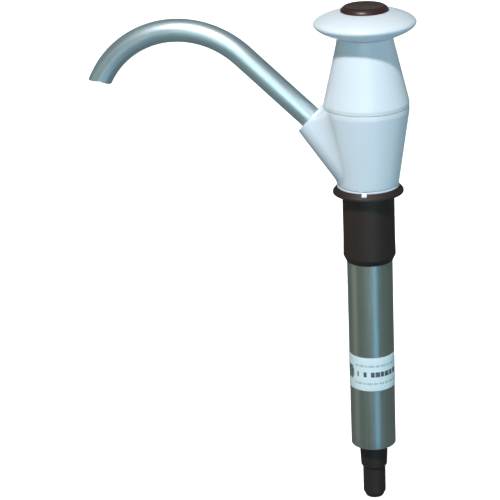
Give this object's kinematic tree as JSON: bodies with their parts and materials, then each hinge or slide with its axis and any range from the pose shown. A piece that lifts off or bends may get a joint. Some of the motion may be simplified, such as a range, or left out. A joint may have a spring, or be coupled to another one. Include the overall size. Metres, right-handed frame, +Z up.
{
  "type": "galley hand pump",
  "caption": "Deck-mounted push-pull galley hand pump with a pull knob, two-part swivelling head, curved spout, barrel and stepped hose tail.",
  "frame": {"origin": "on the pump's axis in the plane of the deck, under the collar's flange", "axes": "+Z up the pump's axis towards the knob, spout towards -X, Y completes the right-handed frame"},
  "size_m": [0.2311, 0.069, 0.3614],
  "materials": {
    "white_plastic": "smooth moulded acetal, soft gloss",
    "white_nylon": "machined nylon",
    "black_plastic": "moulded, slightly worn",
    "brown_plastic": "moulded, soft gloss",
    "satin_aluminium": "bright satin, drawn tube",
    "anodised_aluminium": "grey anodised, fine drawn lines",
    "stainless_steel": "ground",
    "seal_rubber": "moulded nitrile",
    "gasket_rubber": "flat beige sheet",
    "label_film": "printed film with plain bars"
  },
  "bodies": {
    "barrel": {"deck_collar": "black_plastic", "swivel_washer": "white_nylon", "barrel_tube": "anodised_aluminium", "barrel_label": "label_film", "tail_adaptor": "black_plastic", "tail_o_ring": "seal_rubber", "tail_snap_ring": "stainless_steel", "foot_valve_cage": "black_plastic"},
    "foot_valve": {"foot_valve_ball": "seal_rubber"},
    "head": {"lower_body": "white_plastic", "upper_body": "white_plastic", "seam_gasket": "gasket_rubber", "spout_tube": "satin_aluminium", "spout_o_rings": "seal_rubber", "barrel_o_ring": "seal_rubber", "barrel_retaining_ring": "stainless_steel", "rod_guide_bush": "white_nylon", "rod_seal": "seal_rubber", "gland_nut": "white_nylon"},
    "buffer": {"top_buffer": "seal_rubber"},
    "plunger": {"knob": "white_plastic", "knob_cap": "brown_plastic", "knob_nut": "stainless_steel", "knob_washer": "stainless_steel", "piston_rod": "stainless_steel", "piston_guide": "white_nylon", "valve_plate": "white_nylon", "piston_nut": "stainless_steel"},
    "piston_seal": {"piston_ring": "seal_rubber"}
  },
  "joints": [
    {"name": "head_swivel", "type": "hinge", "parent": "barrel", "child": "head", "pos_m": [0, 0, 0], "axis": [0, 0, 1], "continuous": true},
    {"name": "plunger_stroke", "type": "slide", "parent": "barrel", "child": "buffer", "axis": [0, 0, 1], "range_m": [0, 0.14]},
    {"name": "plunger_turn", "type": "hinge", "parent": "buffer", "child": "plunger", "pos_m": [0, 0, 0], "axis": [0, 0, 1], "continuous": true},
    {"name": "piston_ring_float", "type": "slide", "parent": "plunger", "child": "piston_seal", "axis": [0, 0, 1], "range_m": [0, 0.0025]},
    {"name": "foot_valve_lift", "type": "slide", "parent": "barrel", "child": "foot_valve", "axis": [0, 0, 1], "range_m": [0, 0.005]}
  ]
}
